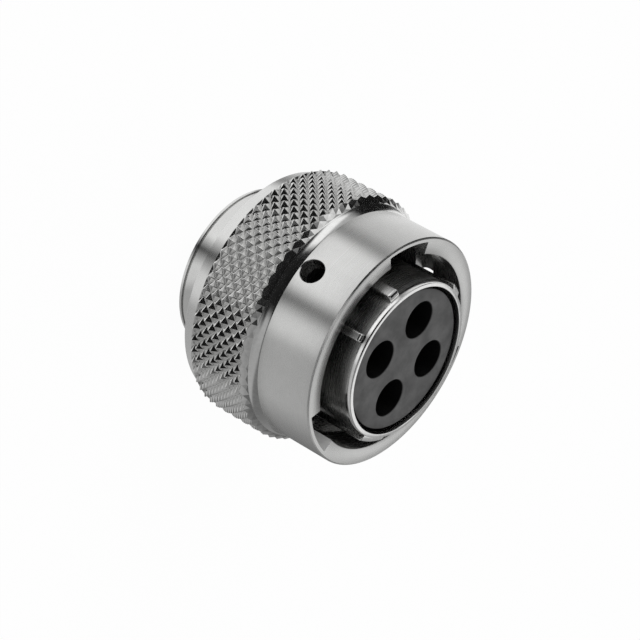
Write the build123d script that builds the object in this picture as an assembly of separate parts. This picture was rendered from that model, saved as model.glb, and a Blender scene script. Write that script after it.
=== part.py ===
from build123d import *
from math import cos, sin, radians, pi
import os

# Bayonet coupling plug, four socket contacts. Millimetres, axis along +Z with the mating face up,
# z = 0 on the rear end of the shell, where the plug stands.

# Lengths along the axis
ring_rear = 4.6
ring_length = 18.15
smooth_length = 7.2
neck_length = 1.0
land_length = 2.0
barrel_step = 2.1
flange_rear = 11.4
flange_thickness = 1.6
hub_length = 5.6

# Radii of the shell and the ring: the barrel, and steps and walls counted out from it
barrel_radius = 9.25
barrel_wall = 0.55
seat_step = 0.5
mating_gap = 2.25
ring_wall = 2.0
flange_overlap = 0.5
turning_gap = 0.15
washer_width = 1.6
hub_step = 0.9
rim_round = 0.35

# Groove near the rear end of the hub
hub_groove_rear = 0.4
hub_groove_width = 0.27

# Knurl: raised diamonds, tips and valleys on a lattice of half pitches, cut off square at the neck
knurl_rise = 1.2
knurl_depth = 0.75
knurl_count = 60
knurl_row = 0.70
knurl_phase = 2.35

# Bayonet: three notches, each leading into a helical track that ends at a witness hole
track_count = 3
witness_angle = 29.3
witness_depth = 5.67
witness_radius = 1.4
track_sweep = 79.7
track_start_depth = 2.2
track_recess = 1.45
track_width = 2.5
notch_width = 28.0
notch_bevel = 0.3

# Keys on the outside of the barrel: angle from the master key and width, degrees
master_key_angle = 270.5
key_height = 0.75
key_steps = [(0, 24.0), (105, 5.5), (140, 8.0), (215, 9.5), (265, 8.0)]
key_setback = 0.55
key_rear_gap = 1.0

# Contacts, their holes and the discs that hold them
contact_count = 4
pitch_circle = 4.6
hole_radius = 2.2
socket_bore = 1.21
socket_wall = 0.59
socket_recess = 2.95
socket_bore_length = 5.5
slit_width = 0.3
slit_length = 4.5
crimp_radius = 1.6
crimp_wall = 0.39
collar_radius = 2.05
collar_length = 0.6
hood_wall = 0.2
clip_gap = 0.1
clip_wall = 0.38
clip_length = 1.9
insert_recess = 0.4
insert_gap = 0.4
insert_gap_depth = 1.8
disc_front_length = 2.5
disc_rear_length = 2.5

# Rings and washers between the ring and the shell
spring_height = 1.2
spring_strip = 0.3
washer_thickness = 0.6
snap_thickness = 1.0
snap_bite = 0.95
snap_reach = 0.5
seal_height = 1.0
lock_ring_rear = 1.6
lock_ring_thickness = 0.8
lock_ring_bite = 0.35
lock_ring_width = 1.5

# Fits
slide_gap = 0.2
part_gap = 0.04
edge = 0.25

# Worked out from the sizes above
ring_front = ring_rear + ring_length
smooth_rear = ring_front - smooth_length
knurl_front = smooth_rear - neck_length
knurl_rear = ring_rear + land_length
knurl_rows = int((knurl_front - knurl_rear) / knurl_row - 0.05)
barrel_front = ring_front + barrel_step
shell_bore = barrel_radius - barrel_wall
rear_bore = shell_bore - seat_step
ring_bore = barrel_radius + mating_gap
smooth_radius = ring_bore + ring_wall
flange_radius = ring_bore + flange_overlap
cavity_radius = flange_radius + turning_gap
body_radius = flange_radius - washer_width
hub_radius = body_radius - hub_step
snap_groove = cavity_radius + snap_bite
track_floor = ring_bore + track_recess
key_radius = barrel_radius + key_height
knurl_tip = smooth_radius + knurl_rise
knurl_mid = knurl_tip - knurl_depth / 2
land_radius = knurl_mid - part_gap
cove_radius = knurl_tip - knurl_depth - part_gap
neck_radius = smooth_radius - edge
flange_front = flange_rear + flange_thickness
spring_rear = flange_rear - spring_height
washer_rear = spring_rear - washer_thickness
snap_rear = washer_rear - snap_thickness
insert_front = barrel_front - insert_recess
socket_front = insert_front - socket_recess
socket_radius = socket_bore + socket_wall
seat = flange_front - disc_rear_length
disc_front = flange_front + disc_front_length
collar_rear = flange_front
lock_ring_front = lock_ring_rear + lock_ring_thickness
contact_rear = hub_length
clip_rear = collar_rear - clip_length


def turned(points):
    """A solid of revolution about Z from (radius, z) points."""
    outline = Polyline([(r, z) for r, z in points], close=True)
    return revolve(Plane.XZ * make_face(outline), Axis.Z, 360)


def tube(inner, outer, bottom, top):
    """A plain ring with square edges."""
    return turned([(inner, bottom), (outer, bottom), (outer, top), (inner, top)])


def rod(radius, bottom, top, x=0, y=0):
    """An upright cylinder between two heights."""
    return Pos(x, y, (bottom + top) / 2) * Cylinder(radius, top - bottom)


def sector(inner, outer, bottom, top, middle, width):
    """A piece of a ring, width degrees wide about the angle middle."""
    outline = Polyline([(inner, bottom), (outer, bottom), (outer, top), (inner, top)], close=True)
    piece = revolve(Plane.XZ * make_face(outline), Axis.Z, width)
    return Rot(0, 0, middle - width / 2) * piece


def place(index):
    """Centre of a contact position on the pitch circle."""
    angle = radians(index * 360 / contact_count)
    return pitch_circle * cos(angle), pitch_circle * sin(angle)


def knurl_faces():
    """The faces of a lattice of diamond points, level at the land and cut off square at the neck."""
    steps = 2 * knurl_count
    heights = [knurl_rear]
    for row in range(knurl_rows + 1):
        heights.append(knurl_front + (row - knurl_rows) * knurl_row)
    last = len(heights) - 1

    def vertex(row, step):
        angle = radians(knurl_phase + step * 180 / knurl_count)
        if row == 0:
            radius = knurl_mid
        elif (row + step) % 2 == 0:
            radius = knurl_tip
        else:
            radius = knurl_tip - knurl_depth
        return Vector(radius * cos(angle), radius * sin(angle), heights[row])

    faces = []
    for row in range(last):
        for step in range(steps):
            a = vertex(row, step)
            b = vertex(row, step + 1)
            c = vertex(row + 1, step + 1)
            d = vertex(row + 1, step)
            if (row + step) % 2 == 0:
                corners = [(a, b, d), (b, c, d)]
            else:
                corners = [(a, b, c), (a, c, d)]
            for corner in corners:
                faces.append(Face(Wire.make_polygon(corner, close=True)))
    for row, inner_radius in ((0, land_radius), (last, cove_radius)):
        rim = Wire.make_polygon([vertex(row, step) for step in range(steps)], close=True)
        inner = Wire(Edge.make_circle(inner_radius, Plane.XY.offset(heights[row])))
        faces.append(Face(rim, [inner]))
    return faces


def bayonet_cut():
    """Everything cut for one pin: the entry notch, the helical track and the witness hole."""
    end_z = ring_front - witness_depth
    start_z = ring_front - track_start_depth
    rise = start_z - end_z
    middle = (ring_bore + track_floor) / 2
    inside = ring_bore - 2 * edge
    bottom = start_z - track_width / 2
    side = track_floor - notch_bevel
    path = Helix(rise * 360 / track_sweep, rise, middle)
    section = Rectangle(track_floor - inside, track_width)
    section = Plane.XZ * Pos((track_floor + inside) / 2, 0, 0) * section
    track = sweep(section, path, is_frenet=True)
    track = Pos(0, 0, end_z) * Rot(0, 0, witness_angle) * track
    notch_angle = witness_angle + track_sweep
    lead = [(inside, bottom), (side, bottom), (side, start_z), (track_floor, ring_front - edge),
            (track_floor, ring_front + 1), (inside, ring_front + 1)]
    notch = revolve(Plane.XZ * make_face(Polyline(lead, close=True)), Axis.Z, notch_width)
    notch = Rot(0, 0, notch_angle - notch_width / 2) * notch
    hole = Cylinder(witness_radius, 2 * (smooth_radius - inside))
    hole = Rot(0, 0, witness_angle) * Pos(smooth_radius, 0, end_z) * Rot(0, 90, 0) * hole
    return [track, notch, hole]


def coupling_ring():
    """The turning ring: smooth front, cove, knurl and tapered land, with its bayonet tracks."""
    cove = cove_radius - neck_radius
    cove_length = 0.7 * neck_length
    cove_middle = (cove_radius - cove * sin(pi / 4), knurl_front + cove_length * (1 - cos(pi / 4)))
    cove_end = (neck_radius, knurl_front + cove_length)
    outline = make_face(
        Polyline([(land_radius, knurl_rear), (cove_radius, knurl_front)])
        + ThreePointArc((cove_radius, knurl_front), cove_middle, cove_end)
        + Polyline([cove_end, (neck_radius, smooth_rear - 0.1 * neck_length),
                    (smooth_radius, smooth_rear), (smooth_radius, ring_front - edge),
                    (smooth_radius - edge, ring_front), (ring_bore + edge / 2, ring_front),
                    (ring_bore, ring_front - edge / 2), (ring_bore, flange_front),
                    (cavity_radius, flange_front), (cavity_radius, washer_rear),
                    (snap_groove, washer_rear), (snap_groove, snap_rear),
                    (cavity_radius, snap_rear), (cavity_radius, ring_rear),
                    (smooth_radius - edge, ring_rear), (smooth_radius, ring_rear + edge),
                    (land_radius, knurl_rear)])
    )
    body = revolve(Plane.XZ * outline, Axis.Z, 360)
    for turn in range(track_count):
        for cutter in bayonet_cut():
            body = body - Rot(0, 0, turn * 360 / track_count) * cutter
    faces = []
    for face in body.faces():
        extent = face.bounding_box()
        knurled = abs(extent.min.Z - knurl_rear) < 0.01 and abs(extent.max.Z - knurl_front) < 0.01
        if not knurled:
            faces.append(face)
    return Solid(Shell(faces + knurl_faces()))


def plug_shell():
    """The fixed shell: keyed barrel, flange, body and grooved rear hub in one piece."""
    rim_start = (barrel_radius - rim_round, barrel_front)
    rim_middle = (barrel_radius - rim_round * (1 - cos(pi / 4)),
                  barrel_front - rim_round * (1 - sin(pi / 4)))
    rim_end = (barrel_radius, barrel_front - rim_round)
    groove_front = hub_groove_rear + hub_groove_width
    groove_radius = hub_radius - edge
    outline = make_face(
        Polyline([rim_start, (shell_bore, barrel_front), (shell_bore, seat), (rear_bore, seat),
                  (rear_bore, lock_ring_front), (rear_bore + lock_ring_bite, lock_ring_front),
                  (rear_bore + lock_ring_bite, lock_ring_rear), (rear_bore, lock_ring_rear),
                  (rear_bore, edge), (rear_bore + edge, 0), (hub_radius - edge / 2, 0),
                  (hub_radius, edge / 2), (hub_radius, hub_groove_rear),
                  (groove_radius, hub_groove_rear + part_gap), (groove_radius, groove_front - part_gap),
                  (hub_radius, groove_front), (hub_radius, hub_length),
                  (body_radius, hub_length + edge), (body_radius, flange_rear),
                  (flange_radius, flange_rear), (flange_radius, flange_front),
                  (barrel_radius, flange_front), rim_end])
        + ThreePointArc(rim_end, rim_middle, rim_start)
    )
    body = revolve(Plane.XZ * outline, Axis.Z, 360)
    key_rear = flange_front + seal_height + key_rear_gap
    for offset, width in key_steps:
        key = sector(barrel_radius - edge, key_radius, key_rear, barrel_front - key_setback,
                     master_key_angle - offset, width)
        body = body + key
    return body


def peripheral_seal():
    """Flat rubber seal lying on the flange round the barrel."""
    top = flange_front + seal_height
    outer = ring_bore - slide_gap - edge / 2
    return turned([(barrel_radius + part_gap, flange_front), (outer, flange_front),
                   (outer, top - edge), (outer - edge, top),
                   (barrel_radius + edge, top), (barrel_radius + part_gap, top - edge)])


def wave_washer():
    """Spring washer, a thin strip bent into three waves between the flange and the washer."""
    waves = 3
    sides = 48
    inner = body_radius + slide_gap
    outer = flange_radius - part_gap
    swing = (spring_height - spring_strip) / 2
    middle = spring_rear + spring_height / 2
    rings = []
    for side in range(sides):
        angle = 2 * pi * side / sides
        low = middle + swing * cos(waves * angle) - spring_strip / 2
        high = low + spring_strip
        for radius, height in ((inner, low), (outer, low), (outer, high), (inner, high)):
            rings.append(Vector(radius * cos(angle), radius * sin(angle), height))
    faces = []
    for side in range(sides):
        here = 4 * side
        there = 4 * ((side + 1) % sides)
        for first in range(4):
            second = (first + 1) % 4
            a = rings[here + first]
            b = rings[here + second]
            c = rings[there + second]
            d = rings[there + first]
            faces.append(Face(Wire.make_polygon((a, b, c), close=True)))
            faces.append(Face(Wire.make_polygon((a, c, d), close=True)))
    return Solid(Shell(faces))


def thrust_washer():
    """Flat washer between the spring and the retaining ring."""
    return tube(body_radius + slide_gap, flange_radius, washer_rear, spring_rear)


def split_ring(inner, outer, bottom, top, gap):
    """A snap ring with a gap of so many degrees at the master key's side."""
    ring = tube(inner, outer, bottom, top)
    return ring - sector(inner - 1, outer + 1, bottom - 1, top + 1, master_key_angle, gap)


def retaining_ring():
    """Snap ring in the coupling ring's groove, behind the washer."""
    return split_ring(body_radius + snap_reach, snap_groove - part_gap, snap_rear, washer_rear, 14)


def insert_lock_ring():
    """Snap ring in the shell's rear bore that holds the grommet in."""
    outer = rear_bore + lock_ring_bite - part_gap
    return split_ring(outer - lock_ring_width, outer, lock_ring_rear, lock_ring_front, 24)


def front_insert():
    """Hard insert that fills the barrel, with its face just below the rim."""
    radius = shell_bore - part_gap
    face_radius = shell_bore - insert_gap
    body = turned([(0, disc_front), (radius, disc_front),
                   (radius, insert_front - insert_gap_depth),
                   (face_radius, insert_front - insert_gap_depth),
                   (face_radius, insert_front - edge / 2), (face_radius - edge / 2, insert_front),
                   (0, insert_front)])
    for index in range(contact_count):
        x, y = place(index)
        body = body - rod(hole_radius, disc_front - 1, insert_front + 1, x, y)
    return body


def retention_disc():
    """Disc that holds the clips; each hole narrows ahead of the contact's collar."""
    body = rod(shell_bore - part_gap, seat, disc_front)
    for index in range(contact_count):
        x, y = place(index)
        body = body - rod(socket_radius + part_gap, seat - 1, disc_front + 1, x, y)
        pocket = collar_radius + clip_gap
        body = body - rod(pocket, seat - 1, collar_rear + collar_length + clip_gap, x, y)
    return body


def rear_grommet():
    """Rubber grommet at the rear, with a wire hole behind each contact's crimp barrel."""
    body = rod(rear_bore - part_gap, lock_ring_front, seat)
    for index in range(contact_count):
        x, y = place(index)
        body = body - rod(crimp_radius + part_gap, lock_ring_front - 1, seat + 1, x, y)
    return body


def socket_contact(index):
    """Crimp socket: slit socket end, collar and hollow crimp barrel."""
    x, y = place(index)
    top = socket_front
    collar_front = collar_rear + collar_length
    body = turned([(0, contact_rear), (crimp_radius, contact_rear), (crimp_radius, collar_rear),
                   (collar_radius, collar_rear), (collar_radius, collar_front),
                   (socket_radius, collar_front), (socket_radius, top - slide_gap),
                   (socket_radius - slide_gap, top), (0, top)])
    body = body - rod(socket_bore, top - socket_bore_length, top + 1)
    body = body - rod(crimp_radius - crimp_wall, contact_rear - 1, seat)
    slit = Pos(0, 0, top - slit_length / 2 + 1) * Box(4 * socket_radius, slit_width, slit_length + 2)
    body = body - slit
    return Pos(x, y, 0) * Rot(0, 0, index * 360 / contact_count) * body


def contact_hood(index):
    """Thin sleeve pressed over the socket end of a contact."""
    x, y = place(index)
    inner = socket_radius + part_gap / 2
    return Pos(x, y, 0) * tube(inner, inner + hood_wall, disc_front + part_gap, socket_front)


def contact_clip(index):
    """Split clip behind the collar that keeps the contact from pulling out."""
    x, y = place(index)
    inner = crimp_radius + clip_gap
    outer = inner + clip_wall
    ring = tube(inner, outer, clip_rear, collar_rear)
    ring = ring - Pos(outer, 0, collar_rear) * Box(2 * outer, outer / 4, 3 * clip_length)
    return Pos(x, y, 0) * Rot(0, 0, index * 360 / contact_count) * ring


os.makedirs("parts", exist_ok=True)
export_step(coupling_ring(), "parts/coupling_ring.step")
export_step(plug_shell(), "parts/plug_shell.step")
export_step(peripheral_seal(), "parts/peripheral_seal.step")
export_step(wave_washer(), "parts/wave_washer.step")
export_step(thrust_washer(), "parts/thrust_washer.step")
export_step(retaining_ring(), "parts/retaining_ring.step")
export_step(insert_lock_ring(), "parts/insert_lock_ring.step")
export_step(front_insert(), "parts/front_insert.step")
export_step(retention_disc(), "parts/retention_disc.step")
export_step(rear_grommet(), "parts/rear_grommet.step")
for number in range(contact_count):
    export_step(socket_contact(number), f"parts/socket_contact_{number + 1}.step")
    export_step(contact_hood(number), f"parts/contact_hood_{number + 1}.step")
    export_step(contact_clip(number), f"parts/contact_clip_{number + 1}.step")
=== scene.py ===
from math import atan2, cos, degrees, hypot, pi, radians, sin
import bpy
import bmesh
from mathutils import Matrix, Vector


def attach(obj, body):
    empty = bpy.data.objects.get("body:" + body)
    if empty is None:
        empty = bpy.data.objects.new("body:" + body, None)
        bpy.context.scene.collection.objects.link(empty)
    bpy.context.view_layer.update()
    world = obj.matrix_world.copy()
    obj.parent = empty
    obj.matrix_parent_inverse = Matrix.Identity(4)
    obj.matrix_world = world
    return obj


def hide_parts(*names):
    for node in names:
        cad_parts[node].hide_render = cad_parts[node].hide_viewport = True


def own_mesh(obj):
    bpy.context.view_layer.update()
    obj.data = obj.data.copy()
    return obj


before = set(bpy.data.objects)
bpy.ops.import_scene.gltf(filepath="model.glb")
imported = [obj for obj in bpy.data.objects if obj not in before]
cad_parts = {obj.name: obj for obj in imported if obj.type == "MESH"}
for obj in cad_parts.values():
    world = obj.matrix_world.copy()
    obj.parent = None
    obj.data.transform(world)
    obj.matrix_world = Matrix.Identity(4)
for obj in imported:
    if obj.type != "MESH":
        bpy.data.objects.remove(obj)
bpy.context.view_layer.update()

print("frame loaded")
mm = 0.001


# helpers for node trees

def addNode(tree, kind, at, **values):
    node = tree.nodes.new(kind)
    node.location = at
    for key, value in values.items():
        setattr(node, key, value)
    return node


def feed(tree, node, sources):
    # each inlet, by name or number, is linked to a socket or set to a value
    for label, source in sources.items():
        if isinstance(source, bpy.types.NodeSocket):
            tree.links.new(source, node.inputs[label])
        else:
            node.inputs[label].default_value = source


def compute(tree, operation, at, *sources):
    node = addNode(tree, "ShaderNodeMath", at, operation=operation)
    feed(tree, node, dict(enumerate(sources)))
    return node.outputs[0]


def mapRange(tree, value, at, before=(0, 1), after=(0, 1), smooth=False):
    node = addNode(tree, "ShaderNodeMapRange", at, interpolation_type="SMOOTHSTEP" if smooth else "LINEAR")
    feed(tree, node, {"Value": value, "From Min": before[0], "From Max": before[1],
                      "To Min": after[0], "To Max": after[1]})
    return node.outputs[0]


def mix(tree, kind, at, first, second, factor, **values):
    # kind is FLOAT for numbers and RGBA for colours
    node = addNode(tree, "ShaderNodeMix", at, data_type=kind, **values)
    feed(tree, node, {"Factor": factor, "A": first, "B": second})
    return node.outputs["Result"]


def tint(tree, at, colour, share):
    return mix(tree, "RGBA", at, colour, share, 1.0, blend_type="MULTIPLY")


def addNoise(tree, at, vector, scale, detail):
    node = addNode(tree, "ShaderNodeTexNoise", at)
    feed(tree, node, {"Vector": vector, "Scale": scale, "Detail": detail})
    return node.outputs["Fac"]


def addBump(tree, at, shader, height, strength, depth):
    node = addNode(tree, "ShaderNodeBump", at)
    feed(tree, node, {"Height": height, "Strength": strength, "Distance": depth * mm})
    feed(tree, shader, {"Normal": node.outputs[0]})


def objectPlace(tree, at):
    return addNode(tree, "ShaderNodeTexCoord", at).outputs["Object"]


def takeApart(tree, at, vector):
    node = addNode(tree, "ShaderNodeSeparateXYZ", at)
    feed(tree, node, {0: vector})
    return node.outputs


def axisDistance(tree, at, place):
    flat = addNode(tree, "ShaderNodeVectorMath", at, operation="MULTIPLY")
    feed(tree, flat, {0: place, 1: (1, 1, 0)})
    length = addNode(tree, "ShaderNodeVectorMath", (at[0] + 200, at[1]), operation="LENGTH")
    feed(tree, length, {0: flat.outputs[0]})
    return length.outputs["Value"]


def freshMaterial(name):
    material = bpy.data.materials.new(name)
    material.use_nodes = True
    tree = material.node_tree
    return material, tree, tree.nodes["Principled BSDF"]


platedFinish = {
    "colour": (0.62, 0.62, 0.612, 1.0),
    "tone": (0.94, 1.04),         # how far the specks change the colour
    "speckScale": 900.0,
    "speckDetail": 5.0,
    "roughness": (0.24, 0.31),
    "anisotropy": 0.60,
    "turnedRotation": 0.25,       # spreads the shine along the axis, across the tool marks
    "lineScale": 5200.0,          # tool marks per metre along the axis
    "lineDetail": 3.0,
    "lineDepth": 0.012,
    "lineBump": 0.22,
    "shade": 0.55,                # how much of the colour is left deep between ring and barrel
    "shadeFrom": 22.75,           # the shade begins at this height, is full at the next and ends at the third
    "shadeTo": 21.2,
    "shadeEnd": 12.9,
    "shadeInner": 9.2,            # it lies between these two radii
    "shadeOuter": 11.3,
}


def makePlatedMetal(name="satinPlate", s=platedFinish):
    material, tree, shader = freshMaterial(name)
    place = objectPlace(tree, (-1500, 0))
    height = takeApart(tree, (-1300, -200), place)["Z"]
    distance = axisDistance(tree, (-1300, 200), place)

    along = addNode(tree, "ShaderNodeCombineXYZ", (-620, -200))
    feed(tree, along, {"X": distance, "Y": height})      # the marks run round the axis on sides and faces
    marks = addNoise(tree, (-440, -200), along.outputs[0], s["lineScale"], s["lineDetail"])
    specks = addNoise(tree, (-440, 120), place, s["speckScale"], s["speckDetail"])
    paint = tint(tree, (0, 200), s["colour"], mapRange(tree, specks, (-200, 160), after=s["tone"]))

    deep = mapRange(tree, height, (-620, 640), (s["shadeFrom"] * mm, s["shadeTo"] * mm), smooth=True)
    limits = [
        ("GREATER_THAN", height, s["shadeEnd"]),
        ("GREATER_THAN", distance, s["shadeInner"]),
        ("LESS_THAN", distance, s["shadeOuter"]),
    ]
    for row, (operation, value, limit) in enumerate(limits):
        within = compute(tree, operation, (-620, 500 - 120 * row), value, limit * mm)
        deep = compute(tree, "MULTIPLY", (-440, 560 - 120 * row), deep, within)
    left = mapRange(tree, deep, (-60, 440), after=(1, s["shade"]))

    turned = addNode(tree, "ShaderNodeTangent", (-100, -520), direction_type="RADIAL", axis="Z")
    feed(tree, shader, {
        "Base Color": tint(tree, (180, 260), paint, left),
        "Roughness": mapRange(tree, marks, (-200, -40), after=s["roughness"]),
        "Metallic": 1.0,
        "Tangent": turned.outputs[0],
        "Anisotropic": s["anisotropy"],
        "Anisotropic Rotation": s["turnedRotation"],
    })
    addBump(tree, (-100, -320), shader, marks, s["lineBump"], s["lineDepth"])
    return material


plainLook = {
    "detail": 6.0,
    "tone": (0.85, 1.15),         # how far the grain changes the colour
    "spread": 0.05,               # and the roughness, to both sides
    "bump": 0.4,
}


def makePlain(name, colour, roughness, metallic, grain, depth, s=plainLook):
    material, tree, shader = freshMaterial(name)
    grains = addNoise(tree, (-700, 0), objectPlace(tree, (-900, 0)), grain, s["detail"])
    spread = (roughness - s["spread"], roughness + s["spread"])
    feed(tree, shader, {
        "Base Color": tint(tree, (-240, 200), colour, mapRange(tree, grains, (-460, 160), after=s["tone"])),
        "Roughness": mapRange(tree, grains, (-460, -60), after=spread),
        "Metallic": metallic,
    })
    addBump(tree, (-240, -260), shader, grains, s["bump"], depth)
    return material


plainFinishes = {
    # name: colour, roughness, metallic, grain per metre, its depth in millimetres
    "rolledPlate": ((0.78, 0.78, 0.772, 1), 0.14, 1.0, 2400, 0.002),
    # the milled wall is a real milled face, painted near white and barely metal as a painted highlight
    "milledWallHighlight": ((0.92, 0.92, 0.91, 1), 0.45, 0.15, 1800, 0.01),
    "darkRubber": ((0.03, 0.03, 0.03, 1), 0.6, 0.0, 1500, 0.03),
    "springSteel": ((0.55, 0.55, 0.55, 1), 0.3, 1.0, 3000, 0.004),
    "contactGold": ((0.78, 0.56, 0.22, 1), 0.28, 1.0, 3000, 0.004),
    "clipCopper": ((0.72, 0.42, 0.24, 1), 0.3, 1.0, 3000, 0.004),
}

knurlFinish = {
    "colour": (0.72, 0.72, 0.712, 1.0),
    "valley": 0.82,               # painted shade: how much of the colour is left at the bottom of the grooves
    "valleyRadius": 14.10,
    "ridgeRadius": 14.45,
    "roughness": 0.13,
    "metallic": 1.0,
    "grain": 2400.0,
    "depth": 0.002,
}


def makeKnurlPlate(name="knurlPlate", s=knurlFinish):
    material = makePlain(name, s["colour"], s["roughness"], s["metallic"], s["grain"], s["depth"])
    tree = material.node_tree
    shader = tree.nodes["Principled BSDF"]
    painted = shader.inputs["Base Color"].links[0].from_socket
    distance = axisDistance(tree, (-900, 500), objectPlace(tree, (-1100, 500)))
    # painted shade: the colour darkens from the ridges down into the valleys of the knurl
    paintedValleyShade = mapRange(tree, distance, (-460, 500), (s["valleyRadius"] * mm, s["ridgeRadius"] * mm),
                    (s["valley"], 1), smooth=True)
    feed(tree, shader, {"Base Color": tint(tree, (-40, 320), painted, paintedValleyShade)})
    return material


insertFace = 24.45                # height of the insert's face, which its material and its mesh share

insertFinish = {
    "colour": (0.088, 0.088, 0.088, 1.0),
    "shade": (0.0012, 0.0012, 0.0012, 1.0),     # inside the holes and the gap round the face
    "shadeFrom": 0.02,            # depths below the face between which the shade comes in
    "shadeTo": 0.14,
    "roughness": 0.55,
    "metallic": 0.0,
    "grain": 2600.0,
    "depth": 0.02,
    "specular": 0.3,
    "mottleScale": 520.0,
    "mottleDetail": 4.0,
    "mottleNoise": (0.3, 0.7),    # this part of the noise is spread over the next two shares of the colour
    "mottle": (0.72, 1.28),
}


def makeInsertPlastic(name="insertPlastic", s=insertFinish):
    material = makePlain(name, s["colour"], s["roughness"], s["metallic"], s["grain"], s["depth"])
    tree = material.node_tree
    shader = tree.nodes["Principled BSDF"]
    painted = shader.inputs["Base Color"].links[0].from_socket
    place = objectPlace(tree, (-900, 500))
    patches = addNoise(tree, (-700, 760), place, s["mottleScale"], s["mottleDetail"])
    cloud = mapRange(tree, patches, (-460, 760), s["mottleNoise"], s["mottle"])
    height = takeApart(tree, (-700, 500), place)["Z"]
    level = mapRange(tree, height, (-460, 500),
                     ((insertFace - s["shadeTo"]) * mm, (insertFace - s["shadeFrom"]) * mm), smooth=True)
    colour = mix(tree, "RGBA", (-40, 320), s["shade"], tint(tree, (-240, 520), painted, cloud), level)
    feed(tree, shader, {"Base Color": colour, "Specular IOR Level": s["specular"]})
    return material


satinPlate = makePlatedMetal()
plain = {name: makePlain(name, *look) for name, look in plainFinishes.items()}
knurlPlate = makeKnurlPlate()
insertPlastic = makeInsertPlastic()

finishOf = {
    "plug_shell": satinPlate,
    "coupling_ring": satinPlate,
    "peripheral_seal": plain["darkRubber"],
    "wave_washer": plain["springSteel"],
    "thrust_washer": plain["springSteel"],
    "retaining_ring": plain["springSteel"],
    "front_insert": insertPlastic,
    "retention_disc": insertPlastic,
    "rear_grommet": plain["darkRubber"],
    "insert_lock_ring": plain["springSteel"],
}
for number in range(1, 5):
    finishOf["socket_contact_%d" % number] = plain["contactGold"]
    finishOf["contact_hood_%d" % number] = plain["springSteel"]
    finishOf["contact_clip_%d" % number] = plain["clipCopper"]

for nodeName, finish in finishOf.items():
    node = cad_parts[nodeName]
    node.data.materials.clear()
    node.data.materials.append(finish)
print("materials on %d nodes" % len(finishOf))


# helpers for the modelling, which works in millimetres until the numbers go to Blender

mergeReach = 0.0005               # points nearer than this become one


def radiusOf(place):
    return hypot(place.x, place.y)


def offsetPoints(radius, height, offsets):
    # profile points beside a corner, each given as outward and up from it
    return [(radius + outward, height + up) for outward, up in offsets]


def clearSelection():
    if bpy.context.object and bpy.context.object.mode != "OBJECT":
        bpy.ops.object.mode_set(mode="OBJECT")
    bpy.ops.object.select_all(action="DESELECT")


def pick(obj):
    clearSelection()
    obj.select_set(True)
    bpy.context.view_layer.objects.active = obj


def startEdit(obj):
    pick(obj)
    bpy.ops.object.mode_set(mode="EDIT")


def endEdit():
    # turns every face outward and leaves edit mode
    bpy.ops.mesh.select_all(action="SELECT")
    bpy.ops.mesh.normals_make_consistent(inside=False)
    bpy.ops.object.mode_set(mode="OBJECT")


def selectWhere(obj, kind, test):
    # picks vertices or edges of the mesh being edited by their place
    mesh = bmesh.from_edit_mesh(obj.data)
    bpy.ops.mesh.select_mode(type=kind)
    bpy.ops.mesh.select_all(action="DESELECT")
    for item in mesh.verts if kind == "VERT" else mesh.edges:
        middle = item.co if kind == "VERT" else (item.verts[0].co + item.verts[1].co) / 2
        if test(middle / mm, item):
            item.select_set(True)
    mesh.select_flush_mode()
    bmesh.update_edit_mesh(obj.data)


def turnOnLathe(name, profile, sides, capped=False):
    # a circle drawn out from point to point, then joined to its start or closed with flat ends
    clearSelection()
    radius, height = profile[0]
    bpy.ops.mesh.primitive_circle_add(vertices=sides, radius=radius * mm, location=(0, 0, height * mm))
    obj = bpy.context.object
    obj.name = name
    bpy.ops.object.transform_apply(location=True, rotation=True, scale=True)
    bpy.ops.object.mode_set(mode="EDIT")
    bpy.ops.mesh.select_mode(type="EDGE")
    bpy.ops.mesh.select_all(action="SELECT")
    for nextRadius, nextHeight in profile[1:]:
        bpy.ops.mesh.extrude_region_move(
            TRANSFORM_OT_translate={"value": (0, 0, (nextHeight - height) * mm)})
        if nextRadius != radius:
            ratio = nextRadius / radius
            bpy.ops.transform.resize(value=(ratio, ratio, 1), center_override=(0, 0, nextHeight * mm))
        radius, height = nextRadius, nextHeight
    bpy.ops.mesh.select_all(action="DESELECT")
    bpy.ops.mesh.select_non_manifold()
    if capped:
        bpy.ops.mesh.fill_holes(sides=0)
    else:
        bpy.ops.mesh.bridge_edge_loops()
    endEdit()
    return obj


def sectorSolid(name, corners, start, turn, steps):
    # an upright outline of (radius, height) corners swept through an angle about the axis
    clearSelection()
    bpy.ops.mesh.primitive_circle_add(vertices=len(corners), radius=mm, fill_type="NGON")
    obj = bpy.context.object
    obj.name = name
    for vertex, (radius, height) in zip(obj.data.vertices, corners):
        vertex.co = (radius * mm * cos(radians(start)), radius * mm * sin(radians(start)), height * mm)
    bpy.ops.object.mode_set(mode="EDIT")
    bpy.ops.mesh.select_all(action="SELECT")
    bpy.ops.mesh.spin(steps=steps, angle=-radians(turn), center=(0, 0, 0), axis=(0, 0, 1))   # anticlockwise
    bpy.ops.mesh.select_all(action="SELECT")
    bpy.ops.mesh.remove_doubles(threshold=mergeReach * mm)
    endEdit()
    return obj


def combine(obj, other, operation="DIFFERENCE"):
    pick(obj)
    step = obj.modifiers.new("cut", "BOOLEAN")
    step.operation = operation
    step.solver = "EXACT"
    step.object = other
    bpy.ops.object.modifier_apply(modifier=step.name)
    clearSelection()
    other.select_set(True)
    bpy.ops.object.delete()


def smoothSides(obj, limit):
    pick(obj)
    bpy.ops.object.shade_smooth_by_angle(angle=radians(limit))


def giveFinishes(obj, *finishes):
    for finish in finishes:
        obj.data.materials.append(finish)


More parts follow.
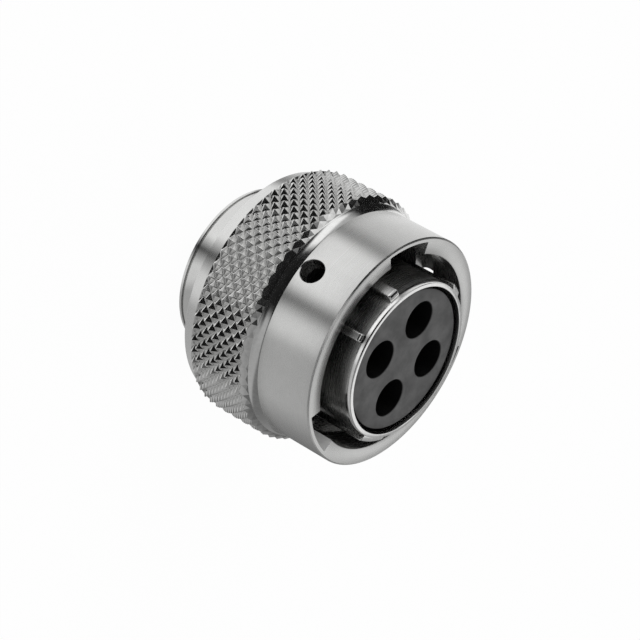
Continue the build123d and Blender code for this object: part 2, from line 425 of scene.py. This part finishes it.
couplingRing = {
    "sides": 288,
    "front": 22.75, "smoothRear": 15.55, "knurlFront": 14.55, "knurlRear": 6.6, "rear": 4.6,
    "smoothRadius": 13.5, "boreRadius": 11.5, "cavityRadius": 12.15, "landRadius": 14.285,
    # corners, each as offsets outward and up
    "boreEdge": [(0, -0.14), (0.03, -0.05), (0.13, 0)],
    "frontEdge": [(-0.20, 0), (-0.185, -0.004), (-0.006, -0.134), (0, -0.15)],
    "smoothEdge": [(0, 0.06), (-0.02, 0.01), (-0.07, -0.01)],
    "neckEdge": [(0.04, -0.12), (0, -0.16)],
    "coreFront": [(0.04, -0.05), (-0.3, -0.35)],
    "coreRear": [(-0.3, 0.3)],
    "landEdge": [(0.02, 0.27), (-0.03, 0.2), (-0.22, 0.02), (-0.27, 0)],
    "cavityEdge": [(0.05, 0), (0, 0.05)],
    # the neck is a flat cove that runs out to the end of the knurl
    "neckRadius": 13.18, "neckTop": 0.80, "coveInner": 13.19, "coveRadius": 13.91,
    "coveSag": 0.35, "coveSteps": 8,
    "step": 13.0, "grooveFront": 9.6, "grooveRear": 8.6, "grooveRadius": 13.1,
    # bayonet: angles in degrees, depths below the front
    "thirds": 3, "witnessAngle": 29.3, "witnessDepth": 5.67, "witnessRadius": 1.4, "witnessSides": 48,
    "holeCentre": 13.4, "holeLength": 5.0,
    "sinkCentre": 13.6, "sinkLength": 0.8, "sinkInner": 1.2, "sinkOuter": 2.0,
    "trackTurn": 79.7, "trackDepth": 2.2, "trackFloor": 12.95, "trackWidth": 2.5, "trackSteps": 48,
    "notchWidth": 28.0, "notchBevel": 0.3, "notchLip": 0.25, "notchSteps": 20,
    "cutterInset": 0.6, "cutterPast": 1.0, "wrapMargin": 20.0,
    "smoothBelow": 28,            # edges flatter than this are shaded smooth
    # the rolled finish goes on the cove, and the milled one, painted near white as a highlight, on the notch
    # walls that face clockwise
    "rolledInset": 0.02, "rolledFrom": 0.99, "wallReach": 3.0, "wallFacing": 0.9,
}


def ringProfile(s):
    front, rear, smoothRadius = s["front"], s["rear"], s["smoothRadius"]
    bore, cavity, groove = s["boreRadius"], s["cavityRadius"], s["grooveRadius"]
    points = offsetPoints(bore, front, s["boreEdge"])
    points += offsetPoints(smoothRadius, front, s["frontEdge"])
    points += offsetPoints(smoothRadius, s["smoothRear"], s["smoothEdge"])
    points += offsetPoints(s["neckRadius"], s["smoothRear"], s["neckEdge"])
    for k in range(s["coveSteps"] + 1):
        share = k / s["coveSteps"]
        fall = share + s["coveSag"] * share * (1 - share)
        points.append((s["coveInner"] + (s["coveRadius"] - s["coveInner"]) * share,
                       s["knurlFront"] + s["neckTop"] * (1 - fall)))
    points += offsetPoints(s["coveRadius"], s["knurlFront"], s["coreFront"])
    points += offsetPoints(s["coveRadius"], s["knurlRear"], s["coreRear"])
    points.append((s["landRadius"], s["knurlRear"]))
    points += offsetPoints(smoothRadius, rear, s["landEdge"])
    points += offsetPoints(cavity, rear, s["cavityEdge"])
    return points + [
        (cavity, s["grooveRear"]), (groove, s["grooveRear"]), (groove, s["grooveFront"]),
        (cavity, s["grooveFront"]), (cavity, s["step"]), (bore, s["step"])]


def drill(ring, angle, centre, innerRadius, outerRadius, length, s):
    # a round hole that points straight outward, at the height of the witness holes
    clearSelection()
    bpy.ops.mesh.primitive_cone_add(
        vertices=s["witnessSides"], radius1=innerRadius * mm, radius2=outerRadius * mm, depth=length * mm,
        location=(centre * mm * cos(angle), centre * mm * sin(angle), (s["front"] - s["witnessDepth"]) * mm),
        rotation=(0, pi / 2, angle))
    combine(ring, bpy.context.object)


def cutBayonet(ring, witness, s):
    # an entry notch, the track that turns down from it and the witness hole at the track's end
    inside, floor = s["boreRadius"] - s["cutterInset"], s["trackFloor"]
    bevel, half = floor - s["notchBevel"], s["trackWidth"] / 2
    front, past = s["front"], s["front"] + s["cutterPast"]
    high, low = front - s["trackDepth"], front - s["witnessDepth"]
    combine(ring, sectorSolid("notchCutter", [
        (inside, high - half), (bevel, high - half), (bevel, high),
        (floor, front - s["notchLip"]), (floor, past), (inside, past)],
        witness + s["trackTurn"] - s["notchWidth"] / 2, s["notchWidth"], s["notchSteps"]))
    track = sectorSolid("trackCutter", [
        (inside, low - half), (floor, low - half), (floor, low + half), (inside, low + half)],
        witness, s["trackTurn"], s["trackSteps"])
    turn = radians(s["trackTurn"])
    for vertex in track.data.vertices:          # the flat arc climbs to the notch as a helix
        angle = (atan2(vertex.co.y, vertex.co.x) - radians(witness)) % (2 * pi)
        if angle > turn + radians(s["wrapMargin"]):
            angle = 0.0                         # the arc's start, rounded to nearly a full turn
        vertex.co.z += (high - low) * mm * angle / turn
    combine(ring, track)
    radius = s["witnessRadius"]
    drill(ring, radians(witness), s["holeCentre"], radius, radius, s["holeLength"], s)
    drill(ring, radians(witness), s["sinkCentre"], s["sinkInner"], s["sinkOuter"], s["sinkLength"], s)


def makeCouplingRing(name="ringBody", s=couplingRing):
    ring = turnOnLathe(name, ringProfile(s), s["sides"])
    for third in range(s["thirds"]):
        cutBayonet(ring, s["witnessAngle"] + 360 / s["thirds"] * third, s)
    smoothSides(ring, s["smoothBelow"])
    giveFinishes(ring, satinPlate, plain["rolledPlate"], plain["milledWallHighlight"])
    coveLow, coveHigh = s["knurlFront"], s["smoothRear"] - s["rolledInset"]
    for face in ring.data.polygons:
        place = face.center / mm
        around = atan2(place.y, place.x)
        facing = face.normal.x * sin(around) - face.normal.y * cos(around)
        if coveLow < place.z < coveHigh and radiusOf(place) > s["neckRadius"] * s["rolledFrom"]:
            face.material_index = 1      # the cove, smoother than the turned sides
        if place.z > s["front"] - s["wallReach"] and facing > s["wallFacing"]:
            face.material_index = 2      # the milled side wall of each notch, painted near white as a highlight
    return ring


knurl = {
    "count": 60, "row": 0.70, "rows": 11, "phase": 2.35,
    "front": 14.55, "rear": 6.6, "tip": 14.7, "depth": 0.63, "inner": 13.7, "rim": 13.92,
    "lean": 0.20,                 # how far the last row of points stands back from the front
    "hidden": 0.28,               # how far the inner side, which nobody sees, stands back
    "lastTip": 14.46,             # the last row is drawn in to this radius and moved down by the next number,
    "lastDrop": 0.33,             # so that the knurl ends at the slope of the cove
    "near": 0.01,                 # how close to a radius or height a point counts as on it
    "blunt": 0.055,               # ridges and valleys are rolled, not sharp
    "bluntSteps": 2,
    "bluntAbove": 0.03,           # from this far outside the rim
    "bluntFrom": 12,              # and where the faces meet at more than this, in degrees
}


def makeKnurl(name="knurlBand", s=knurl):
    tip, front = s["tip"], s["front"]
    first, last = front - s["rows"] * s["row"], front - s["lean"]
    profile = [(tip - s["depth"] / 2, s["rear"])]
    profile += [(tip, first + row * s["row"]) for row in range(s["rows"])]
    profile += [(tip, last), (s["rim"], front), (s["inner"], front - s["hidden"]),
                (s["inner"], s["rear"] + s["hidden"])]
    band = turnOnLathe(name, profile, 2 * s["count"])
    pick(band)
    band.rotation_euler.z = radians(s["phase"])
    bpy.ops.object.transform_apply(location=True, rotation=True, scale=True)
    bpy.ops.object.mode_set(mode="EDIT")

    def isTip(place):
        return radiusOf(place) > tip - s["near"]

    def isLow(place, item):
        row = round((place.z - first) / s["row"]) + 1
        step = round((degrees(atan2(place.y, place.x)) - s["phase"]) / (180 / s["count"]))
        return isTip(place) and (row + step) % 2 == 1

    def drawIn(radius):
        bpy.ops.transform.resize(value=(radius / tip, radius / tip, 1), center_override=(0, 0, 0))

    selectWhere(band, "VERT", isLow)
    drawIn(tip - s["depth"])
    selectWhere(band, "VERT", lambda place, item: isTip(place) and place.z > last - s["near"])
    drawIn(s["lastTip"])
    bpy.ops.transform.translate(value=(0, 0, -s["lastDrop"] * mm))
    bpy.ops.mesh.select_all(action="SELECT")
    bpy.ops.mesh.quads_convert_to_tris(quad_method="SHORTEST_DIAGONAL", ngon_method="BEAUTY")
    selectWhere(band, "EDGE", lambda place, edge: radiusOf(place) > s["rim"] + s["bluntAbove"]
                and edge.calc_face_angle(0) > radians(s["bluntFrom"]))
    bpy.ops.mesh.bevel(offset=s["blunt"] * mm, segments=s["bluntSteps"], affect="EDGES")
    endEdit()
    return band


plugShell = {
    "sides": 288,
    "front": 24.85, "barrelRadius": 9.25, "boreRadius": 8.7, "rearBore": 8.2, "seat": 10.5,
    "flangeFront": 13.0, "flangeRear": 11.4, "flangeRadius": 12.0,
    "bodyRadius": 10.4, "hubLength": 5.6, "hubRadius": 9.5, "hubTaper": 0.25,
    "lockFront": 2.4, "lockRear": 1.6, "lockDepth": 0.35,
    "rimRound": (0.14, 0.85),     # the rim rolls over to the outside in a long soft curve: inward, down
    "rimSteps": 12,
    # corners, each as offsets outward and up
    "rimInside": [(0, -0.03), (0.03, 0)],
    "flangeFillet": [(0, 0.15), (0.15, 0)],
    "flangeEdge": [(-0.1, 0), (0, -0.1)],
    "rearInside": [(0.25, 0), (0, 0.25)],
    # the hub's one groove and its rear lip
    "hubEdge": [(0, 0.69), (-0.03, 0.66), (-0.23, 0.62), (-0.25, 0.58), (-0.25, 0.47), (-0.2, 0.43),
                (-0.03, 0.41), (0, 0.36), (0, 0.14), (-0.04, 0.04), (-0.13, 0)],
    # keys: degrees from the master key and width in degrees
    "keys": [(0, 24.0), (105, 5.5), (140, 8.0), (215, 9.5), (265, 8.0)],
    "masterKey": 270.5, "keyRadius": 10.0, "keyRear": 15.0, "keyFront": 24.3, "keyRoot": 0.3,
    "keyNose": [(0, -0.35), (-0.10, -0.12), (-0.32, 0)], "keyLeastSteps": 4,
    "keyRound": 0.16, "keyRoundSteps": 3, "keyRoundOut": 0.3, "keyRoundUp": 0.1, "keyCorner": 60,
    "smoothBelow": 30,
    "burnishedReach": 0.4, "burnishedFlank": 0.999,
}


def shellProfile(s):
    front, barrel, hub, rear = s["front"], s["barrelRadius"], s["hubRadius"], s["rearBore"]
    points = [(s["boreRadius"], s["seat"])]
    points += offsetPoints(s["boreRadius"], front, s["rimInside"])
    inward, down = s["rimRound"]
    for k in range(s["rimSteps"] + 1):
        turn = pi / 2 * k / s["rimSteps"]
        points.append((barrel - inward * (1 - sin(turn)), front - down * (1 - cos(turn))))
    points += offsetPoints(barrel, s["flangeFront"], s["flangeFillet"])
    points += offsetPoints(s["flangeRadius"], s["flangeFront"], s["flangeEdge"])
    points += [(s["flangeRadius"], s["flangeRear"]), (s["bodyRadius"], s["flangeRear"]),
               (s["bodyRadius"], s["hubLength"] + s["hubTaper"]), (hub, s["hubLength"])]
    points += offsetPoints(hub, 0, s["hubEdge"])
    points += offsetPoints(rear, 0, s["rearInside"])
    lock = rear + s["lockDepth"]
    return points + [(rear, s["lockRear"]), (lock, s["lockRear"]), (lock, s["lockFront"]),
                     (rear, s["lockFront"]), (rear, s["seat"])]


def makeKey(offset, width, s):
    root = s["barrelRadius"] - s["keyRoot"]
    outline = [(root, s["keyRear"]), (s["keyRadius"], s["keyRear"])]
    outline += offsetPoints(s["keyRadius"], s["keyFront"], s["keyNose"])
    outline.append((root, s["keyFront"]))
    key = sectorSolid("shellKey", outline, s["masterKey"] - offset - width / 2, width,
                      max(s["keyLeastSteps"], round(width)))
    startEdit(key)
    selectWhere(key, "EDGE", lambda place, edge: radiusOf(place) > s["barrelRadius"] + s["keyRoundOut"]
                and place.z > s["keyRear"] + s["keyRoundUp"]
                and edge.calc_face_angle(0) > radians(s["keyCorner"]))
    bpy.ops.mesh.bevel(offset=s["keyRound"] * mm, segments=s["keyRoundSteps"])
    bpy.ops.object.mode_set(mode="OBJECT")
    return key


def makePlugShell(name="shellBody", s=plugShell):
    shell = turnOnLathe(name, shellProfile(s), s["sides"])
    for offset, width in s["keys"]:
        combine(shell, makeKey(offset, width, s), "UNION")
    smoothSides(shell, s["smoothBelow"])
    giveFinishes(shell, satinPlate, plain["rolledPlate"])
    for face in shell.data.polygons:      # the rim and the key ends are burnished by mating
        if (face.center.z > (s["keyFront"] - s["burnishedReach"]) * mm
                and radiusOf(face.normal) < s["burnishedFlank"]):
            face.material_index = 1
    return shell


frontInsert = {
    "sides": 192, "rear": 15.5, "radius": 8.66, "faceRadius": 8.3, "stepDown": 1.8,
    "faceEdge": [(-0.14, 0), (-0.04, -0.04), (0, -0.14)],      # outward, up
    "core": 0.4,                  # flat faces of this radius close the two ends
    "holes": 4, "holeRadius": 2.2, "pitchRadius": 4.6, "holeSides": 64,
    "holeEdge": 0.12, "holeCurve": 0.3, "cutterBelow": 1.0, "cutterAbove": 0.2,
    "smoothBelow": 30,
}


def makeFrontInsert(name="insertBody", s=frontInsert):
    core, shoulder = s["core"], insertFace - s["stepDown"]
    profile = [(core, insertFace)] + offsetPoints(s["faceRadius"], insertFace, s["faceEdge"])
    profile += [(s["faceRadius"], shoulder), (s["radius"], shoulder),
                (s["radius"], s["rear"]), (core, s["rear"])]
    insert = turnOnLathe(name, profile, s["sides"], capped=True)
    edge, above = s["holeEdge"], s["cutterAbove"]
    curve = s["holeCurve"] * edge
    outline = [(s["holeRadius"], s["rear"] - s["cutterBelow"])]
    outline += offsetPoints(s["holeRadius"], insertFace, [(0, -edge), (curve, -curve), (edge + above, above)])
    for k in range(s["holes"]):
        hole = turnOnLathe("holeCutter", outline, s["holeSides"], capped=True)
        angle = 2 * pi * k / s["holes"]
        for vertex in hole.data.vertices:
            vertex.co.x += s["pitchRadius"] * mm * cos(angle)
            vertex.co.y += s["pitchRadius"] * mm * sin(angle)
        combine(insert, hole)
    smoothSides(insert, s["smoothBelow"])
    return insert


waveSpring = {
    "sides": 96, "inner": 10.6, "outer": 11.96, "low": 10.2, "high": 11.4, "strip": 0.3, "round": 0.06,
    "waves": 3,
    "keep": 0.5,                  # share of its height that is left when the ring is pushed fully forward
    "smoothBelow": 40,
}


def makeWaveSpring(name="waveStrip", s=waveSpring):
    middle, corner = (s["low"] + s["high"]) / 2, s["round"]
    bottom, top = middle - s["strip"] / 2, middle + s["strip"] / 2
    profile = offsetPoints(s["inner"], bottom, [(corner, 0)])
    profile += offsetPoints(s["outer"], bottom, [(-corner, 0), (0, corner)])
    profile += offsetPoints(s["outer"], top, [(0, -corner), (-corner, 0)])
    profile += offsetPoints(s["inner"], top, [(corner, 0), (0, -corner)])
    profile += offsetPoints(s["inner"], bottom, [(0, corner)])
    strip = turnOnLathe(name, profile, s["sides"])
    swing = (s["high"] - s["low"] - s["strip"]) / 2
    for vertex in strip.data.vertices:
        vertex.co.z += swing * mm * cos(s["waves"] * atan2(vertex.co.y, vertex.co.x))
    smoothSides(strip, s["smoothBelow"])
    return strip


def dress(obj, body, finish, slotName, *nodes):
    if not obj.data.materials:
        giveFinishes(obj, finish)
    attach(obj, body)
    if nodes:
        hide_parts(*nodes)
    return obj


dress(makeCouplingRing(), "ring", satinPlate, "nickel_plate", "coupling_ring")
dress(makeKnurl(), "ring", knurlPlate, "nickel_plate")
print("coupling ring and knurl done")
dress(makePlugShell(), "shell", satinPlate, "nickel_plate", "plug_shell")
print("shell done")
dress(makeFrontInsert(), "shell", insertPlastic, "insert_plastic", "front_insert")
print("insert done")
waveStrip = dress(makeWaveSpring(), "shell", plain["springSteel"], "spring_steel", "wave_washer")
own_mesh(waveStrip)
print("wave spring done")


cameraSettings = {
    "location": (-239.35, 69.5, 166.8),     # millimetres
    "right": (0.5777, 0.3385, 0.7427),
    "up": (0.0, 0.9099, -0.4147),
    "lens": 150.8,
    "sensor": 36.0,
    "clip": (0.01, 20.0),         # metres
}


def setCamera(s=cameraSettings):
    cameraData = bpy.data.cameras.new("camera")
    cameraData.sensor_width = s["sensor"]
    cameraData.lens = s["lens"]
    cameraData.clip_start, cameraData.clip_end = s["clip"]
    camera = bpy.data.objects.new("camera", cameraData)
    bpy.context.scene.collection.objects.link(camera)
    right = Vector(s["right"]).normalized()
    back = right.cross(Vector(s["up"])).normalized()
    turned = Matrix((right, back.cross(right), back)).transposed().to_4x4()
    camera.matrix_world = Matrix.Translation(Vector(s["location"]) * mm) @ turned
    bpy.context.scene.camera = camera


def compassValue(tree, at, parts, stops, gain):
    # how bright the studio is round the object, by compass direction in degrees
    x, y = at
    angle = compute(tree, "ARCTAN2", (x, y), parts["Y"], parts["X"])
    share = compute(tree, "DIVIDE", (x + 180, y), angle, 2 * pi)
    wrapped = compute(tree, "FRACT", (x + 360, y), share)
    ramp = addNode(tree, "ShaderNodeValToRGB", (x + 540, y))
    points = ramp.color_ramp.elements
    for number, (direction, value) in enumerate(stops):
        point = points[number] if number < 2 else points.new(direction / 360)
        point.position = direction / 360
        point.color = (value, value, value, 1)
    feed(tree, ramp, {"Fac": wrapped})
    return compute(tree, "MULTIPLY", (x + 820, y), ramp.outputs["Color"], gain)


floorSettings = {
    "size": 3.0,                  # metres
    "drop": 0.02,                 # millimetres below the object's rear end
    "colour": (0.80, 0.80, 0.80, 1.0),
    "roughness": 0.9,
    "specular": 0.1,
    "whiteShare": 0.97,           # how much of what the camera sees is plain white
    "mirrorShare": 0.92,          # the same for what the metal reflects
    "mirrorGain": 1.2,
    "mirrorStops": [(0, 0.90), (50, 0.80), (80, 0.60), (95, 0.18), (106, 0.95), (153, 1.00),
                    (165, 0.02), (178, 0.82), (190, 0.80), (200, 0.45), (250, 0.48), (280, 0.25),
                    (312, 0.10), (345, 0.85)],
}


def makeFloorPaint(name="floorPaint", s=floorSettings):
    material, tree, shader = freshMaterial(name)
    feed(tree, shader, {
        "Base Color": s["colour"], "Roughness": s["roughness"], "Specular IOR Level": s["specular"]})
    rays = addNode(tree, "ShaderNodeLightPath", (-700, 300)).outputs
    seen = compute(tree, "MULTIPLY", (-480, 300), rays["Is Camera Ray"], s["whiteShare"])
    mirrored = compute(tree, "MULTIPLY", (-480, 120), rays["Is Glossy Ray"], s["mirrorShare"])
    either = compute(tree, "MAXIMUM", (-300, 200), seen, mirrored)
    parts = takeApart(tree, (-1500, -200), objectPlace(tree, (-1700, -200)))
    around = compassValue(tree, (-1320, -200), parts, s["mirrorStops"], s["mirrorGain"])
    glow = addNode(tree, "ShaderNodeEmission", (-100, 60))
    feed(tree, glow, {
        "Color": (1, 1, 1, 1),
        "Strength": mix(tree, "FLOAT", (-340, -60), 1.0, around, rays["Is Glossy Ray"]),
    })
    blend = addNode(tree, "ShaderNodeMixShader", (120, 200))
    feed(tree, blend, {0: either, 1: shader.outputs[0], 2: glow.outputs[0]})
    feed(tree, tree.nodes["Material Output"], {"Surface": blend.outputs[0]})
    material.cycles.emission_sampling = "NONE"      # its strength depends on the ray that meets it
    return material


worldSettings = {
    "ambient": 0.25,              # for every ray that neither the camera nor the metal's shine sends
    "wallGain": 1.1,
    "wallStops": [(0, 0.88), (12, 0.60), (24, 0.03), (56, 0.015), (66, 1.0), (106, 1.0),
                  (118, 0.01), (184, 0.01), (196, 0.43), (225, 0.37), (290, 0.40), (335, 0.88)],
    "lowWall": (0.43, 0.50),      # sines of the height between which the walls come up to their level
    "lowWallShare": 0.42,         # the share of it that they have below
    "turnover": (0.70, 0.80),     # sines between which the walls give way to the dark ceiling
    "ceilingStops": [(0, 0.015), (198, 0.015), (214, 0.36), (280, 0.36), (300, 0.015)],
    "ceilingGain": 1.0,
    "skylight": (0.972, 0.984),   # sines between which an opening over the object begins
    "skylightLevel": 0.85,
}


def makeStudio(name="studio", s=worldSettings):
    world = bpy.data.worlds.new(name)
    bpy.context.scene.world = world
    world.use_nodes = True
    world.cycles.sampling_method = "NONE"
    tree = world.node_tree
    rays = addNode(tree, "ShaderNodeLightPath", (-900, 500)).outputs
    direction = addNode(tree, "ShaderNodeTexCoord", (-2100, -100)).outputs["Generated"]
    parts = takeApart(tree, (-1900, -100), direction)
    height = parts["Z"]
    walls = compassValue(tree, (-1720, 0), parts, s["wallStops"], s["wallGain"])
    skirt = mapRange(tree, height, (-1100, 260), s["lowWall"], (s["lowWallShare"], 1), smooth=True)
    dimmed = compute(tree, "MULTIPLY", (-860, 120), walls, skirt)
    ceiling = compassValue(tree, (-1720, -900), parts, s["ceilingStops"], s["ceilingGain"])
    over = mapRange(tree, height, (-900, -500), s["turnover"], smooth=True)
    tent = mix(tree, "FLOAT", (-680, -200), dimmed, ceiling, over)
    opening = mapRange(tree, height, (-900, -760), s["skylight"], (0, s["skylightLevel"]), smooth=True)
    roof = compute(tree, "MAXIMUM", (-580, -420), tent, opening)
    mirrored = mix(tree, "FLOAT", (-480, 0), s["ambient"], roof, rays["Is Glossy Ray"])
    seen = mix(tree, "FLOAT", (-280, 100), mirrored, 1.0, rays["Is Camera Ray"])
    feed(tree, tree.nodes["Background"], {"Color": (1, 1, 1, 1), "Strength": seen})


softBoxes = {
    # name: azimuth, elevation, distance, width, height in metres, power in watts
    "keyBox": (105, 35, 0.42, 0.22, 0.34, 0.9),
    "fillBox": (238, 25, 0.50, 0.30, 0.30, 0.5),
    "rearBox": (350, 30, 0.42, 0.26, 0.30, 0.5),
    "topBox": (180, 75, 0.55, 0.35, 0.35, 0.5),
}
aimHeight = 12.0                  # millimetres up the axis, where the lamps point


def addSoftBox(name, azimuth, elevation, distance, width, height, power):
    lampData = bpy.data.lights.new(name, "AREA")
    lampData.shape = "RECTANGLE"
    lampData.size = width
    lampData.size_y = height
    lampData.energy = power
    lamp = bpy.data.objects.new(name, lampData)
    bpy.context.scene.collection.objects.link(lamp)
    level = cos(radians(elevation))
    way = Vector((cos(radians(azimuth)) * level, sin(radians(azimuth)) * level, sin(radians(elevation))))
    lamp.location = way * distance + Vector((0, 0, aimHeight * mm))
    lamp.rotation_euler = way.to_track_quat("Z", "Y").to_euler()
    lamp.visible_glossy = False       # the metal reflects the studio's walls and not the lamps


setCamera()
clearSelection()
bpy.ops.mesh.primitive_plane_add(size=floorSettings["size"], location=(0, 0, -floorSettings["drop"] * mm))
floor = bpy.context.object
floor.name = "studioFloor"
giveFinishes(floor, makeFloorPaint())
makeStudio()
for name, settings in softBoxes.items():
    addSoftBox(name, *settings)
bpy.context.scene.view_settings.view_transform = "Standard"
print("camera, floor and %d lamps set" % len(softBoxes))
